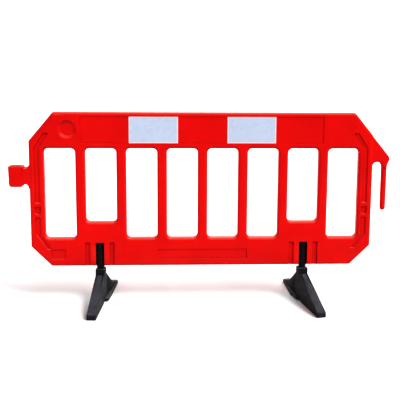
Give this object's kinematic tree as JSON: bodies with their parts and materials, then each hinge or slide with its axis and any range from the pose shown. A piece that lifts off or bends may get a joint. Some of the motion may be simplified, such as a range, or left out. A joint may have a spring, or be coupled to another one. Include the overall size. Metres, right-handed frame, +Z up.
{
  "type": "pedestrian barrier panel",
  "caption": "Moulded plastic gate-style pedestrian barrier with upright bars, a linking hook and socket at its ends, and swivelling low-profile feet.",
  "frame": {"origin": "on the floor, half way along the overall length, in the mid-plane of the panel, which also holds both foot swivel axes", "axes": "+X along the barrier from the link socket to the link hook, -Y the front face, +Z up"},
  "size_m": [2, 0.542, 1.02],
  "materials": {
    "panel": "semi-gloss moulded polyethylene",
    "sheet": "retroreflective sheet",
    "foot": "dull recycled plastic",
    "post": "satin",
    "steel": "zinc plated"
  },
  "bodies": {
    "panel": {"barrier_panel": "panel", "sheet_front_left": "sheet", "sheet_front_right": "sheet", "sheet_rear_left": "sheet", "sheet_rear_right": "sheet"},
    "left_foot": {"foot_left": "foot", "post_left": "post", "cap_left": "post", "bolt_left": "steel", "washer_left": "steel", "nut_left": "steel"},
    "right_foot": {"foot_right": "foot", "post_right": "post", "cap_right": "post", "bolt_right": "steel", "washer_right": "steel", "nut_right": "steel"}
  },
  "joints": [
    {"name": "left_foot_swivel", "type": "hinge", "parent": "panel", "child": "left_foot", "pos_m": [-0.5325, 0, 0.2], "axis": [0, 0, 1], "range_deg": [-85.8, 94.2]},
    {"name": "right_foot_swivel", "type": "hinge", "parent": "panel", "child": "right_foot", "pos_m": [0.5485, 0, 0.2], "axis": [0, 0, 1], "range_deg": [-104, 76]}
  ]
}
